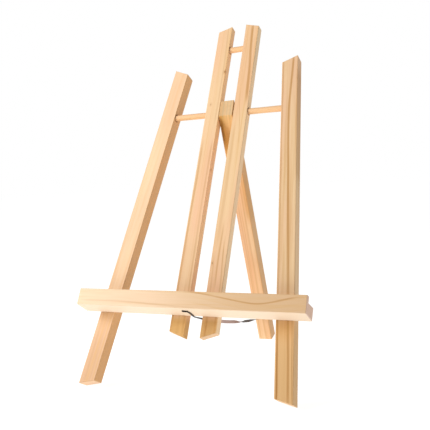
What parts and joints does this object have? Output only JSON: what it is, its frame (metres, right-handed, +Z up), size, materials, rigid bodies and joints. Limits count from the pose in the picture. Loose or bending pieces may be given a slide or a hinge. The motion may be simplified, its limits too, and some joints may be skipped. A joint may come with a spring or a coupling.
{
  "type": "tabletop artist easel",
  "caption": "Small pine tabletop easel: two splayed legs and a two-batten mast on a cross dowel, a lipped tray, and a folding rear leg held by a stay tape.",
  "frame": {"origin": "middle of the easel's box on the surface that its feet stand on", "axes": "+Z up; -Y towards the side that shows the picture and its tray; +X to the right as seen from the front"},
  "size_m": [0.2758, 0.2612, 0.4244],
  "materials": {
    "pine": "sanded bare pine, satin",
    "tray_pine": "sanded bare pine, satin, broad cathedral grain",
    "rear_pine": "sanded bare pine, satin, slightly warmer",
    "dowel_wood": "sanded bare hardwood dowel, satin",
    "ribbon": "narrow woven tape, satin sheen",
    "steel": "bright wire and brads, slightly dulled"
  },
  "bodies": {
    "frame": {"left_leg": "pine", "right_leg": "pine", "left_upright": "pine", "right_upright": "pine", "tray": "tray_pine", "cross_dowel": "dowel_wood", "top_dowel": "dowel_wood", "stay_tape": "ribbon", "front_staple": "steel", "left_leg_brad": "steel", "right_leg_brad": "steel", "left_upright_brad": "steel", "right_upright_brad": "steel"},
    "rear_leg": {"rear_leg": "rear_pine", "rear_staple": "steel"}
  },
  "joints": [
    {"name": "rear_leg_fold", "type": "hinge", "parent": "frame", "child": "rear_leg", "pos_m": [0, 0.04072, 0.30635], "axis": [-0.9998, -0.0087, -0.0157], "range_deg": [0, 43.4], "deforming": ["stay_tape"]}
  ]
}
